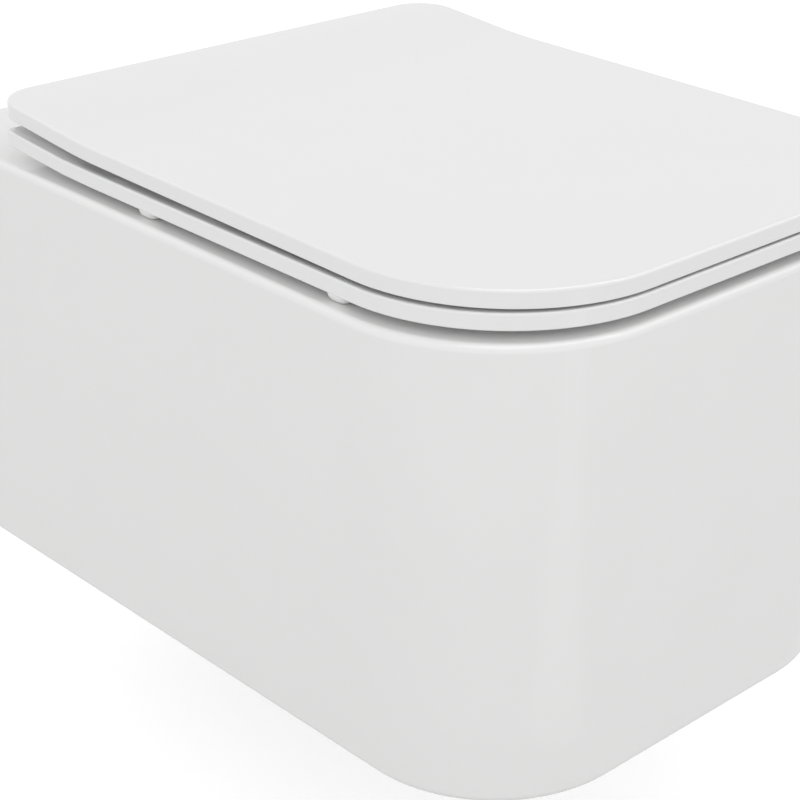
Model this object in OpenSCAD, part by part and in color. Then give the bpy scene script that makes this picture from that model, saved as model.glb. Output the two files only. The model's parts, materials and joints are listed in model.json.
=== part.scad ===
// Wall-hung rimless toilet with a slim soft-close seat.
// Millimetres. +Z is up, the wall is the plane y = 0 and the front faces -Y.
// The origin is on the wall, midway between the two wall bolts.

/* [Ceramic pan] */
// Width of the pan at the rim
pan_w = 360; // [350:1:375]
// Depth of the pan, from the wall to its front edge
pan_d = 511; // [500:1:530]
// Height of the pan at its front, from the rim to the underside
pan_h = 274; // [268:1:290]
// How much lower the underside lies at the wall than at the front
under_drop = 14; // [8:1:20]
// Radius of the front corners at the rim
pan_corner_r = 103; // [90:1:115]
// Radius of the front corners at the underside
under_corner_r = 89; // [75:1:100]
// How far each side leans in, from the rim to the underside
side_draft = 16; // [10:1:20]
// How far the front leans in, from the rim to the underside
front_draft = 12; // [6:1:18]
// Rounding of the edge round the rim
rim_edge_r = 3; // [2:0.5:5]
// Rounding of the edge round the underside
under_edge_r = 8; // [5:1:12]
// Thickness of the ceramic walls
wall_t = 11; // [9:1:12]
// Thickness of the ceramic deck that carries the seat
deck_t = 16; // [13:1:18]
// Height of the rim above the wall bolts
rim_h = 80; // [76:1:88]

/* [Bowl] */
// Width of the flat rim round the bowl
bowl_rim_w = 38; // [34:1:44]
// Distance from the wall to the back edge of the bowl's opening
bowl_back = 150; // [145:1:156]
// Corner radius of the bowl's opening
bowl_corner_r = 100; // [85:1:115]
// How far the bowl's back wall leans forward on its way down
bowl_back_lean = 70; // [64:1:76]
// How sharply the bowl's front and sides curve in towards the sump
bowl_curve = 1.7; // [1.5:0.1:1.9]
// How sharply the bowl's back wall curves in towards the sump
back_curve = 1.3; // [1.2:0.05:1.4]
// Width of the sump at the bottom of the bowl
sump_w = 70; // [64:1:80]
// Length of the sump at the bottom of the bowl
sump_l = 80; // [72:1:90]

/* [Trap and connections] */
// Inner radius of the trap's passage
passage_r = 28; // [26:0.5:30]
// Radius of the trap's bends, at the middle of the passage
bend_r = 45; // [42:1:48]
// Depth of the water seal
seal_depth = 50; // [46:1:54]
// Distance from the wall to the middle of the trap's lower bend
trap_y = 205; // [200:1:210]
// Outer radius of the outlet spigot
spigot_r = 51; // [48:0.5:54]
// Inner radius of the outlet spigot
spigot_bore_r = 41; // [38:0.5:43]
// Length of the outlet spigot
spigot_l = 60; // [50:1:66]
// Length of the spigot's root, between the waste connector and the falling pipe
spigot_root = 2; // [1:0.5:4]
// Distance from the wall bolts down to the outlet's axis
outlet_drop = 100; // [97:1:104]
// Radius of the flush inlet's bore in the ceramic, at its mouth
inlet_r = 27.5; // [26:0.5:29]
// How much narrower that bore is at its inner end
inlet_draft = 0.4; // [0.2:0.1:0.8]
// Depth of the flush inlet's bore
inlet_l = 48; // [42:1:54]
// Distance from the wall bolts up to the inlet's axis
inlet_rise = 35; // [33:1:37]
// How far both connections end short of the wall
connection_gap = 2; // [1:0.5:4]
// Width of the water channel from the inlet to the bowl
channel_w = 70; // [60:1:76]
// Height of the water channel from the inlet to the bowl
channel_h = 22; // [18:1:26]
// Thickness of the ceramic round the inlet and the water channel
channel_t = 9; // [7:0.5:10]
// Radius of the flush pipe that pushes into the inlet seal
flush_pipe_r = 22.5; // [21:0.5:24]
// Length of the inlet seal
seal_l = 35; // [28:1:40]
// How far the diverter reaches into the bowl
diverter_reach = 12; // [8:1:16]
// Wall thickness of the diverter
diverter_t = 3; // [2:0.5:4]
// Length of the diverter's plug inside the water channel
plug_l = 33; // [28:1:38]

/* [Wall fixing] */
// Distance between the two wall bolts
bolt_spacing = 180; // [178:1:190]
// Radius of the hole for a wall bolt
bolt_hole_r = 6.25; // [6.1:0.05:6.5]
// Width of a wall bracket
bracket_w = 52; // [46:1:56]
// Height of a wall bracket
bracket_h = 44; // [38:1:48]
// How far a wall bracket stands out from the wall
bracket_l = 46; // [42:1:52]
// Thickness of the nut on a wall bolt
nut_t = 10; // [8:0.5:12]
// Width of the nut across its flats
nut_flats = 19; // [17:0.5:21]
// Thickness of the washer under the nut
washer_t = 2.5; // [2:0.5:3]
// Radius of the washer under the nut
washer_r = 12; // [11.5:0.5:13]
// Distance from the wall to the side screws
side_screw_y = 24; // [22:1:26]
// Radius of a side screw
side_screw_r = 4; // [3:0.5:5]
// How far a side screw reaches into its bracket
side_thread_l = 9; // [7:1:12]
// How far a screw's sleeve reaches past the pan's wall
sleeve_past = 8; // [6:1:10]
// Thickness of the sleeve's floor, under the screw's head
sleeve_floor_t = 4; // [3:0.5:5]
// Radius of the hole for the side screw's sleeve
side_hole_r = 11; // [10:0.5:12]
// Radius of the cap that covers a side screw
cap_r = 14; // [13:0.5:15]
// Thickness of the cap's disc
cap_t = 3; // [2.5:0.5:4]
// How far the cap lies behind the pan's side
cap_recess = 0.5; // [0.3:0.1:0.8]

/* [Seat] */
// How far the seat's sides lie inside the pan's
seat_side_in = 5.7; // [4:0.1:8]
// How far the seat's front edge lies behind the pan's
seat_front_in = 3.3; // [2:0.1:6]
// How much smaller the seat's front corner radius is than the pan's
seat_corner_ease = 1.5; // [0:0.5:4]
// Radius of the seat's rear corners
seat_rear_r = 22; // [16:1:28]
// Distance from the wall to the seat's rear edge
seat_back = 77; // [74:1:82]
// Height of the seat ring's underside above the rim
ring_rise = 5.2; // [4.4:0.1:6]
// Thickness of the seat ring
ring_t = 9.3; // [8:0.1:10]
// Width of the seat ring's side bands
ring_band = 62; // [54:1:68]
// Distance from the wall to the back edge of the ring's opening
ring_hole_back = 165; // [160:1:172]
// Corner radius of the back of the ring's opening
ring_hole_back_r = 100; // [88:1:106]
// Gap between the seat ring and the lid at the front
lid_gap = 1.7; // [1.4:0.1:2.2]
// Thickness of the lid
lid_t = 10; // [8:0.5:11]
// Even rise of the lid from its front edge to the hinge
lid_rise = 5; // [4:0.2:6]
// Extra rise of the lid over the hinges
lid_kick = 5.2; // [4.8:0.2:6]
// Length over which the lid makes its extra rise
kick_l = 100; // [80:1:120]
// Distance from the wall to the rear pair of ring buffers
rear_buffer_y = 235; // [225:1:245]
// Distance from the wall to the front pair of ring buffers
front_buffer_y = 394; // [386:1:398]
// Length of a ring buffer
buffer_l = 17.5; // [15:0.5:20]
// Width of a ring buffer
buffer_w = 9; // [8:0.5:10]
// How far a ring buffer lies inside the ring's side
buffer_in = 2; // [1:0.5:4]
// Radius of the peg that holds a buffer
buffer_peg_r = 2.5; // [2:0.25:3]
// Length of the peg that holds a buffer
buffer_peg_l = 4; // [3:0.5:5]
// Distance from the wall to the lid buffers
lid_buffer_y = 432; // [426:1:438]
// Radius of a lid buffer
lid_buffer_r = 7; // [6:0.5:8]

/* [Hinges] */
// Distance between the two seat fixing holes
hinge_spacing = 155; // [150:1:160]
// Distance from the hinge axis back to the lid's rear edge
axis_in = 8; // [7.5:0.1:8.2]
// How far the ring's rear edge lies ahead of the lid's
ring_back_in = 1.5; // [1.4:0.1:2.5]
// Height of the hinge axis above the rim
axis_h = 17.5; // [17:0.1:17.9]
// Distance from the hinge axis forward to the fixing hole
hole_ahead = 12; // [11.5:0.5:13]
// Radius of the seat fixing hole in the deck
hinge_hole_r = 7; // [6.5:0.25:7.5]
// Width of a hinge housing
post_w = 24; // [22:1:26]
// Radius of the knuckles round the hinge axis
knuckle_r = 7.9; // [7.6:0.1:8]
// Length of the knuckle on the ring and on the lid
knuckle_l = 26; // [22:1:28]
// Side gap between neighbouring knuckles
knuckle_gap = 0.6; // [0.4:0.1:1]
// Radius of the hinge pin
pin_r = 3.5; // [3:0.25:4]
// Radius of the dampers and bushes inside the knuckles
damper_r = 5.6; // [5.2:0.1:6]
// Thickness of a knuckle's closed end, and of a damper's
knuckle_end_t = 2; // [1.5:0.25:2.5]
// How much shorter a bush is than a damper
bush_short = 4; // [2:0.5:6]
// Radius of the mounting plate on the deck
plate_r = 18; // [16:0.5:18.5]
// Thickness of the mounting plate
plate_t = 2.7; // [2.2:0.1:2.9]
// Thickness of the gasket under the mounting plate
gasket_t = 0.8; // [0.6:0.1:1]
// Radius of the peg that the housing clips on to
peg_r = 5; // [4.5:0.25:5.25]
// Height of the peg above its plate
peg_h = 5.7; // [5.2:0.1:6]
// Radius of the fixing stud below its peg
stud_r = 3; // [2.5:0.25:3.5]
// How far the expander sleeve reaches below the deck
sleeve_below = 14; // [10:1:18]
// Height of the cone nut under the expander sleeve
cone_l = 10; // [8:1:12]
// How far a housing's foot stands above the hinge axis
foot_rise = 2.5; // [2.2:0.1:2.8]
// From the fixing hole to the housing's front
foot_ahead = 13; // [12:0.5:14]
// Radius of a release button
button_r = 4.5; // [4:0.25:4.75]
// How far a release button stands out of its housing
button_out = 2.5; // [2:0.1:2.6]
// How far a release button travels
button_travel = 1.8; // [1.5:0.1:2]

/* [Clearances] */
// Clearance of a release button in its bore, on the radius
button_gap = 0.12; // [0.08:0.02:0.2]
// Clearance of the clip and of the peg in the housing
snap_gap = 0.2; // [0.15:0.05:0.25]
// Gap between the front of a housing and the ring's notch
notch_gap = 1.5; // [1:0.1:2]
// Running clearance of a pin in its bore, on the radius
run_gap = 0.05; // [0.02:0.01:0.08]
// Clearance of a part that slides into another, on each side
fit_gap = 0.3; // [0.2:0.05:0.4]
// Gap between a buffer and the surface that it rests on
rest_gap = 0.2; // [0.1:0.05:0.3]

/* [Hidden] */
$fn = 64;
CERAMIC = "#f3f3f1";
SEAT = "#f6f6f6";
STEEL = "#b9bcc0";
RUBBER = "#3a3c3e";
NYLON = "#d9dad8";
LEFT = -1;
RIGHT = 1;
over = 5;                      // how far a cut runs past the face that it opens
slice_t = 0.02;                // thickness of the slices that a rounded form is drawn between
sink = 1;                      // how far a shape runs into the one that it is joined to
corner_fn = 40;                // facets of a full circle in a rounded form
bowl_levels = 6;               // slices that the bowl is drawn through
lid_steps = 12;                // straight stretches of the lid's kick
trap_floor_extra = 2;          // how much thicker the ceramic under the trap is than a wall
tip_room = 2;                  // room past the tip of a side screw
cap_plug_l = 5;                // ring under the cap, which snaps into the sleeve
cap_plug_t = 2;
gasket_in = 0.5;               // how far the gasket lies inside the edge of its plate
groove_rise = 2.8;             // from the plate to the underside of the peg's groove
groove_t = 1.6;
groove_depth = 1;
clip_side = 3;                 // how far the clip stands out past the peg on each side
clip_end = 2;                  // how far it reaches past the peg at each end
cavity_floor_t = 1.6;          // metal between the peg and the button's room
flange_t = 2;                  // flange that keeps a release button in its housing
flange_rim = 0.9;
spring_t = 0.8;
spring_in = 0.4;               // how far the spring lies inside the button's flange
cone_ease = 0.5;               // how much the cone nut is smaller than the hole
cone_neck = 1.5;               // how much its top is larger than the stud
pad_seat = 0.1;                // gap over a lid buffer's pad, as the lid's underside slopes

// Places that several parts share, from the wall and the rim
under_tilt = atan(under_drop / pan_d);
axis_y = -(seat_back + axis_in);
hole_y = axis_y - hole_ahead;
seat_w = pan_w - 2 * seat_side_in;
seat_front = pan_d - seat_front_in;
seat_corner_r = pan_corner_r - seat_corner_ease;
ring_top = ring_rise + ring_t;
lid_under = ring_top + lid_gap;
bowl_w = pan_w - 2 * bowl_rim_w;
bowl_front = pan_d - bowl_rim_w;
inlet_z = inlet_rise - rim_h;
outlet_z = -outlet_drop - rim_h;
spigot_end = connection_gap + spigot_l + spigot_root;
deck_plate_z = gasket_t + plate_t;
bolt_side_x = side_x(-rim_h);                       // half width of the pan at the wall bolts
cap_x = bolt_side_x - cap_t - cap_recess;           // underside of the cap's disc
head_x = cap_x - wall_t - sleeve_past + sleeve_floor_t;  // underside of the side screw's head
screw_tip_x = bolt_spacing / 2 + bracket_w / 2 - side_thread_l;

// Heights inside a hinge housing, above the rim
foot_z = deck_plate_z + fit_gap;
foot_top = axis_h + foot_rise;
peg_top = deck_plate_z + peg_h;
groove_z = deck_plate_z + groove_rise;
cavity_z = peg_top + cavity_floor_t;
spring_solid = 1.45;                                // height of a pressed spring
spring_top = cavity_z + spring_solid + button_travel;
button_roof_z = spring_top + flange_t + fit_gap / 2;
groove_r = peg_r - groove_depth;
flange_r = button_r + flange_rim;
clip_w = 2 * (peg_r + clip_side);
clip_l = 2 * (peg_r + clip_end);
sleeve_l = deck_t + sleeve_below;

// A knuckle lies on the inner (ring) or outer (lid) side of a housing: its first x from the housing's middle
inner_x = -post_w / 2 - knuckle_gap - knuckle_l;
outer_x = post_w / 2 + knuckle_gap;
pin_reach = -inner_x - 2 * knuckle_end_t - fit_gap;  // the pin ends short of a damper's closed end

// Where the lid's profile has its points, from front to back
lid_ys = concat([-seat_front - over], [for (i = [0:lid_steps]) kick_y(i)], [-seat_back + over]);

// Height of the underside below the rim at a place y
function under_z(y) = -pan_h - under_drop * (pan_d + y) / pan_d;
// Half width of the pan's outside at a height z below the rim
function side_x(z) = pan_w / 2 + side_draft * z / pan_h;
// Radius of the flush inlet's bore at a depth d behind its mouth
function inlet_radius(d) = inlet_r - inlet_draft * d / inlet_l;
// Smooth step from 0 to 1
function smooth(t) = let (c = min(max(t, 0), 1)) c * c * (3 - 2 * c);

// Trap: the lower bend lies just above the underside, the upper bend holds the seal
trap_floor_z = under_z(-trap_y) + wall_t + trap_floor_extra;
lower_bend_z = trap_floor_z + passage_r + bend_r;
weir_z = lower_bend_z - bend_r + passage_r + seal_depth;
upper_bend_z = weir_z + passage_r - bend_r;
upper_bend_y = 2 * bend_r - trap_y;
sump_y = -trap_y - bend_r;
bowl_depth = -lower_bend_z + passage_r;

// Everything is drawn from the rim plane and lifted to its height above the wall bolts
module at_rim() { translate([0, 0, rim_h]) children(); }

// Mirrors what is drawn for the right-hand side
module on_side(side) { mirror([side == LEFT ? 1 : 0, 0, 0]) children(); }

// A cylinder along X, centred on the hinge axis, from x0 to x1
module across(r, x0, x1) { translate([x0, 0, 0]) rotate([0, 90, 0]) cylinder(r = r, h = x1 - x0); }

// A cylinder along -Y, from y0 towards the front
module forward(r, y0, len) { translate([0, y0, 0]) rotate([90, 0, 0]) cylinder(r = r, h = len); }

// A piece of the flush inlet's tapered bore, from depth d0 to depth d1 behind its mouth
module inlet_taper(d0, d1) {
    translate([0, -connection_gap - d0, 0]) rotate([90, 0, 0])
        cylinder(r1 = inlet_radius(d0), r2 = inlet_radius(d1), h = d1 - d0);
}

// A rectangle with round corners: width w, from y0 (front) to y1 (back)
module rounded_plan(w, y0, y1, r_front, r_back) {
    translate([-w / 2, y0 + r_front]) square([w, y1 - y0 - r_front - r_back]);
    translate([-w / 2 + r_front, y0]) square([w - 2 * r_front, r_front + sink]);
    translate([-w / 2 + r_back, y1 - r_back - sink]) square([w - 2 * r_back, r_back + sink]);
    for (side = [LEFT, RIGHT]) {
        translate([side * (w / 2 - r_front), y0 + r_front]) circle(r_front);
        translate([side * (w / 2 - r_back), y1 - r_back]) circle(r_back);
    }
}

// A thin level slice of the pan: drawn in by side_in and front_in, with front corners of radius r
module pan_slice(side_in, front_in, r) {
    w = pan_w - 2 * side_in;
    linear_extrude(slice_t) {
        for (side = [LEFT, RIGHT])
            translate([side * (w / 2 - r), -pan_d + front_in + r]) circle(r, $fn = corner_fn);
        translate([-w / 2, 0]) square([w, over]);
    }
}

// The pan's outer form, or the hollow inside it, a wall thinner and under a deck of thickness top
module pan_form(wall, top) {
    hull() {
        for (a = [0, 45, 90]) {
            round_in = rim_edge_r * (1 - sin(a));
            translate([0, 0, -top - rim_edge_r * (1 - cos(a)) - slice_t])
                pan_slice(wall + round_in, wall + round_in, pan_corner_r - wall - round_in);
        }
        for (a = [0, 45, 90]) {
            round_in = under_edge_r * (1 - sin(a));
            translate([0, -pan_d, -pan_h + wall + under_edge_r * (1 - cos(a))])
                rotate([-under_tilt, 0, 0]) translate([0, pan_d, 0])
                    pan_slice(wall + side_draft + round_in, wall + front_draft + round_in,
                        under_corner_r - wall - round_in);
        }
    }
}

// The bowl at a share t of its depth: its width, front, back and corner radius close in on the sump
module bowl_slice(t, wall) {
    close = pow(t, bowl_curve);
    w = bowl_w + (sump_w - bowl_w) * close + 2 * wall;
    front = -bowl_front + (bowl_front + sump_y - sump_l / 2) * close - wall;
    back = -bowl_back - bowl_back_lean * pow(t, back_curve) + wall;
    r = min(bowl_corner_r + (sump_w / 2 - bowl_corner_r) * close + wall, w / 2, (back - front) / 2);
    for (side = [LEFT, RIGHT]) {
        translate([side * (w / 2 - r), front + r]) circle(r, $fn = corner_fn);
        translate([side * (w / 2 - r), back - r]) circle(r, $fn = corner_fn);
    }
}

// The room inside the bowl, or with a wall the outside of its shell
module bowl_form(wall) {
    hull() {
        translate([0, 0, wall > 0 ? -rim_edge_r : 0]) linear_extrude(sink) bowl_slice(0, wall);
        for (i = [1:bowl_levels])
            translate([0, 0, -bowl_depth * i / bowl_levels - wall]) linear_extrude(slice_t)
                bowl_slice(i / bowl_levels, wall);
    }
}

// The trap's passage: down from the sump, round, up, and back over the weir
module passage(wall) {
    r = passage_r + wall;
    translate([0, -trap_y, lower_bend_z]) rotate([90, 0, 90])
        rotate([0, 0, 180]) rotate_extrude(angle = 180) translate([bend_r, 0]) circle(r);
    translate([0, bend_r - trap_y, lower_bend_z]) cylinder(r = r, h = upper_bend_z - lower_bend_z);
    translate([0, upper_bend_y, upper_bend_z]) rotate([90, 0, 90])
        rotate([0, 0, 90]) rotate_extrude(angle = 90) translate([bend_r, 0]) circle(r);
}

// The falling stretch from the weir to the outlet spigot
module fall(wall) {
    hull() {
        translate([0, 0, upper_bend_z + bend_r])
            forward(passage_r + wall, upper_bend_y + slice_t, slice_t, $fn = corner_fn);
        translate([0, 0, outlet_z])
            forward((wall > 0 ? spigot_r : spigot_bore_r) - slice_t, -spigot_end, slice_t, $fn = corner_fn);
    }
}

// Outside of the ceramic behind the bowl: trap, spigot, inlet and water channel
module plumbing_shell() {
    passage(wall_t);
    fall(wall_t);
    translate([0, 0, outlet_z]) forward(spigot_r, -connection_gap, spigot_end - connection_gap);
    translate([0, 0, inlet_z]) {
        forward(inlet_r + channel_t, -connection_gap, inlet_l + channel_t);
        translate([-channel_w / 2 - channel_t, -bowl_back - wall_t, -channel_h / 2 - channel_t])
            cube([channel_w + 2 * channel_t, bowl_back + wall_t - inlet_l, channel_h + 2 * channel_t]);
    }
}

// Water's way through the same ceramic
module plumbing_bore() {
    passage(0);
    fall(0);
    translate([0, 0, outlet_z]) forward(spigot_bore_r, over, spigot_end + over);
    translate([0, 0, inlet_z]) {
        inlet_taper(-over - connection_gap, inlet_l);
        translate([-channel_w / 2, -bowl_back - 2 * wall_t, -channel_h / 2])
            cube([channel_w, bowl_back + 2 * wall_t - inlet_l, channel_h]);
    }
}

// Shelf inside each side of the pan that rests on a wall bracket
module bracket_shelf() {
    x0 = bolt_spacing / 2 - bracket_w / 2;
    translate([x0, -bracket_l - over, bracket_h / 2 - rim_h + fit_gap])
        cube([bolt_side_x - wall_t / 2 - x0, bracket_l + over, wall_t]);
}

// Holes in one side of the pan: the seat fixing hole, and the side screw's hole with a seat for its cap
module side_holes() {
    translate([hinge_spacing / 2, hole_y, -deck_t - over]) cylinder(r = hinge_hole_r, h = deck_t + 2 * over);
    translate([0, -side_screw_y, -rim_h]) {
        across(side_hole_r, bolt_side_x - 2 * wall_t, pan_w);
        across(cap_r + fit_gap, cap_x, pan_w);
    }
}

module ceramic_pan() {
    color(CERAMIC) at_rim() difference() {
        intersection() {
            union() {
                difference() {
                    pan_form(0, 0);
                    pan_form(wall_t, deck_t);
                }
                intersection() {
                    pan_form(0, 0);
                    union() {
                        bowl_form(wall_t);
                        plumbing_shell();
                        for (side = [LEFT, RIGHT]) on_side(side) bracket_shelf();
                    }
                }
            }
            translate([-pan_w, -pan_d - over, -2 * pan_h]) cube([2 * pan_w, pan_d + over, 3 * pan_h]);
        }
        bowl_form(0);
        plumbing_bore();
        for (side = [LEFT, RIGHT]) on_side(side) side_holes();
    }
}

// Spreads the flush to both sides of the bowl: a hollow plug in the mouth of the water channel
module flush_diverter() {
    w = channel_w - 2 * fit_gap;
    h = channel_h - 2 * fit_gap;
    front = bowl_back + diverter_reach;
    len = diverter_reach + plug_l;
    color(NYLON) at_rim() translate([0, -front, inlet_z]) difference() {
        translate([-w / 2, 0, -h / 2]) cube([w, len, h]);
        translate([-w / 2 + diverter_t, diverter_t, -h / 2 + diverter_t])
            cube([w - 2 * diverter_t, len, h - 2 * diverter_t]);
        translate([-w, diverter_t, -h / 2 + diverter_t])
            cube([2 * w, diverter_reach - 2 * diverter_t, h - 2 * diverter_t]);
    }
}

// Rubber lip seal round the flush pipe
module inlet_seal() {
    color(RUBBER) at_rim() translate([0, 0, inlet_z]) difference() {
        inlet_taper(0, seal_l);
        forward(flush_pipe_r, over, seal_l + 3 * over);
    }
}

// Carrier that hangs on a wall bolt; the pan's shelf rests on it
module wall_bracket(side) {
    color(STEEL) on_side(side) translate([bolt_spacing / 2, 0, 0]) difference() {
        translate([-bracket_w / 2, -bracket_l, -bracket_h / 2]) cube([bracket_w, bracket_l, bracket_h]);
        forward(bolt_hole_r, over, bracket_l + 2 * over);
        translate([0, -side_screw_y, 0])
            across(side_screw_r + run_gap, bracket_w / 2 - side_thread_l - tip_room, bracket_w / 2 + over);
    }
}

module bracket_washer(side) {
    color(STEEL) on_side(side) translate([bolt_spacing / 2, -bracket_l, 0]) difference() {
        forward(washer_r, 0, washer_t);
        forward(bolt_hole_r, over, washer_t + 2 * over);
    }
}

module bracket_nut(side) {
    color(STEEL) on_side(side) translate([bolt_spacing / 2, -bracket_l - washer_t, 0]) difference() {
        forward(nut_flats / 2 / cos(30), 0, nut_t, $fn = 6);
        forward(bolt_hole_r, over, nut_t + 2 * over);
    }
}

// Plastic sleeve in the pan's side hole; the screw's head lies inside it
module screw_sleeve(side) {
    inner_end = cap_x - wall_t - sleeve_past;
    color(NYLON) on_side(side) translate([0, -side_screw_y, 0]) difference() {
        across(side_hole_r - fit_gap / 2, inner_end, cap_x);
        across(side_screw_r + fit_gap, inner_end - over, cap_x);
        across(2 * side_screw_r, head_x, cap_x + over);
    }
}

module side_screw(side) {
    color(STEEL) on_side(side) translate([0, -side_screw_y, 0]) difference() {
        union() {
            across(side_screw_r, screw_tip_x, head_x + sink);
            across(2 * side_screw_r - fit_gap, head_x, head_x + side_screw_r);
        }
        across(side_screw_r / 2, head_x + sink, head_x + side_screw_r + over, $fn = 6);
    }
}

// Snap-in cap over the side screw, level with the pan's side
module cover_cap(side) {
    color(CERAMIC) on_side(side) translate([0, -side_screw_y, 0]) {
        across(cap_r, cap_x, cap_x + cap_t);
        difference() {
            across(2 * side_screw_r - run_gap, cap_x - cap_plug_l, cap_x + sink);
            across(2 * side_screw_r - cap_plug_t, cap_x - cap_plug_l - over, cap_x);
        }
    }
}

// Places what is drawn round the seat fixing hole of one side
module at_hole(side) { at_rim() on_side(side) translate([hinge_spacing / 2, hole_y, 0]) children(); }

// Places what is drawn round the hinge axis, with x measured from the middle of one housing
module at_axis(side) { at_rim() on_side(side) translate([hinge_spacing / 2, axis_y, axis_h]) children(); }

module plate_gasket(side) {
    color(RUBBER) at_hole(side) difference() {
        cylinder(r = plate_r - gasket_in, h = gasket_t);
        translate([0, 0, -over]) cylinder(r = hinge_hole_r, h = gasket_t + 2 * over);
    }
}

module mounting_plate(side) {
    color(STEEL) at_hole(side) difference() {
        translate([0, 0, gasket_t]) cylinder(r = plate_r, h = plate_t);
        translate([0, 0, -over]) cylinder(r = stud_r + run_gap, h = plate_t + 2 * over);
    }
}

// Stud with the grooved peg on top and the expanding plug below
module fixing_stud(side) {
    color(STEEL) at_hole(side) {
        translate([0, 0, -sleeve_l - cone_l]) cylinder(r = stud_r, h = sleeve_l + cone_l + deck_plate_z + sink);
        difference() {
            translate([0, 0, deck_plate_z]) cylinder(r = peg_r, h = peg_top - deck_plate_z);
            translate([0, 0, groove_z]) difference() {
                cylinder(r = peg_r + over, h = groove_t);
                translate([0, 0, -over]) cylinder(r = groove_r, h = groove_t + 2 * over);
            }
        }
    }
}

module expander_sleeve(side) {
    color(RUBBER) at_hole(side) translate([0, 0, -sleeve_l]) difference() {
        cylinder(r = hinge_hole_r - run_gap, h = sleeve_l + gasket_t);
        translate([0, 0, -over]) cylinder(r = stud_r + run_gap, h = sleeve_l + 3 * over);
    }
}

module cone_nut(side) {
    color(STEEL) at_hole(side) translate([0, 0, -sleeve_l - cone_l]) difference() {
        cylinder(r1 = hinge_hole_r - cone_ease, r2 = stud_r + cone_neck, h = cone_l);
        translate([0, 0, -over]) cylinder(r = stud_r, h = cone_l + 2 * over);
    }
}

// Metal housing: a foot over the peg, and a knuckle that holds the hinge pin
module hinge_housing(side) {
    foot_l = hole_ahead + foot_ahead;
    color(STEEL) at_axis(side) difference() {
        union() {
            across(knuckle_r, -post_w / 2, post_w / 2);
            translate([-post_w / 2, -foot_l, foot_z - axis_h]) cube([post_w, foot_l, foot_top - foot_z]);
            translate([-post_w / 2, -sink, foot_z - axis_h])
                cube([post_w, axis_in - ring_back_in + sink, axis_h - foot_z]);
        }
        across(pin_r, -post_w, post_w);
        translate([0, -hole_ahead, -axis_h]) {
            translate([0, 0, foot_z - over])
                cylinder(r = peg_r + run_gap, h = peg_top + snap_gap - foot_z + over);
            translate([0, 0, cavity_z]) cylinder(r = flange_r + snap_gap, h = button_roof_z - cavity_z);
            translate([0, 0, cavity_z]) cylinder(r = button_r + button_gap, h = foot_top - cavity_z + over);
            translate([-(clip_w + snap_gap) / 2, -clip_l / 2, groove_z])
                cube([clip_w + snap_gap, clip_l, groove_t]);
        }
    }
}

// Spring clip that grips the peg's groove
module latch_clip(side) {
    color(STEEL) at_hole(side) translate([0, 0, groove_z + snap_gap / 2]) difference() {
        translate([-clip_w / 2, -clip_l / 2 + snap_gap, 0])
            cube([clip_w, clip_l - 2 * snap_gap, groove_t - snap_gap]);
        translate([0, 0, -over]) cylinder(r = groove_r + run_gap, h = groove_t + 2 * over);
        translate([-groove_r, 0, -over]) cube([2 * groove_r, clip_l, groove_t + 2 * over]);
    }
}

module hinge_pin(side) {
    color(STEEL) at_axis(side) across(pin_r, -pin_reach, pin_reach);
}

// Ring spring under the release button
module button_spring(side) {
    spring_r = flange_r - spring_in;
    color(STEEL) at_hole(side) translate([0, 0, cavity_z]) difference() {
        cylinder(r = spring_r, h = spring_top - cavity_z);
        translate([0, 0, -over]) cylinder(r = spring_r - spring_t, h = spring_top + 2 * over);
    }
}

module release_button(side) {
    color(NYLON) at_hole(side) {
        translate([0, 0, spring_top]) cylinder(r = flange_r, h = flange_t);
        translate([0, 0, spring_top]) cylinder(r = button_r, h = foot_top + button_out - spring_top);
    }
}

module ring_plan() {
    difference() {
        rounded_plan(seat_w, -seat_front, -seat_back - ring_back_in, seat_corner_r, seat_rear_r);
        hole_w = seat_w - 2 * ring_band;
        rounded_plan(hole_w, -seat_front + ring_band, -ring_hole_back, hole_w / 2 - sink, ring_hole_back_r);
        for (side = [LEFT, RIGHT])
            translate([side * hinge_spacing / 2, 0]) mirror([side == LEFT ? 1 : 0, 0])
                translate([-post_w / 2 - knuckle_gap, hole_y - foot_ahead - notch_gap])
                    square([post_w + 3 * knuckle_gap + knuckle_l, pan_d]);
    }
}

module seat_ring() {
    color(SEAT) difference() {
        union() {
            at_rim() translate([0, 0, ring_rise]) linear_extrude(ring_t) ring_plan();
            for (side = [LEFT, RIGHT]) at_axis(side) {
                across(knuckle_r, inner_x, inner_x + knuckle_l);
                translate([inner_x, -knuckle_r, ring_top - sink - axis_h])
                    cube([knuckle_l, 2 * knuckle_r, axis_h - ring_top + sink]);
            }
        }
        for (side = [LEFT, RIGHT]) {
            at_axis(side) across(damper_r, inner_x + knuckle_end_t, inner_x + knuckle_l + over);
            for (y = [rear_buffer_y, front_buffer_y]) at_buffer(side, y) buffer_peg(fit_gap / 2);
        }
    }
}

// Rotary damper: a cartridge with a keyed flange, running on the hinge pin
module damper() {
    difference() {
        across(damper_r, inner_x + knuckle_end_t, inner_x + knuckle_l);
        across(pin_r + run_gap, inner_x + 2 * knuckle_end_t, inner_x + knuckle_l + over);
    }
}

// Plain bush, running on the hinge pin
module bush() {
    difference() {
        across(damper_r, inner_x + knuckle_end_t + bush_short, inner_x + knuckle_l);
        across(pin_r + run_gap, inner_x, inner_x + knuckle_l + over);
    }
}

// The lid's dampers sit on the outer side of the housings, turned the other way round
module on_lid_side() { mirror([1, 0, 0]) children(); }

module ring_damper() { color(STEEL) at_axis(LEFT) damper(); }
module ring_bush() { color(NYLON) at_axis(RIGHT) bush(); }
module lid_damper() { color(STEEL) at_axis(RIGHT) on_lid_side() damper(); }
module lid_bush() { color(NYLON) at_axis(LEFT) on_lid_side() bush(); }

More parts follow.
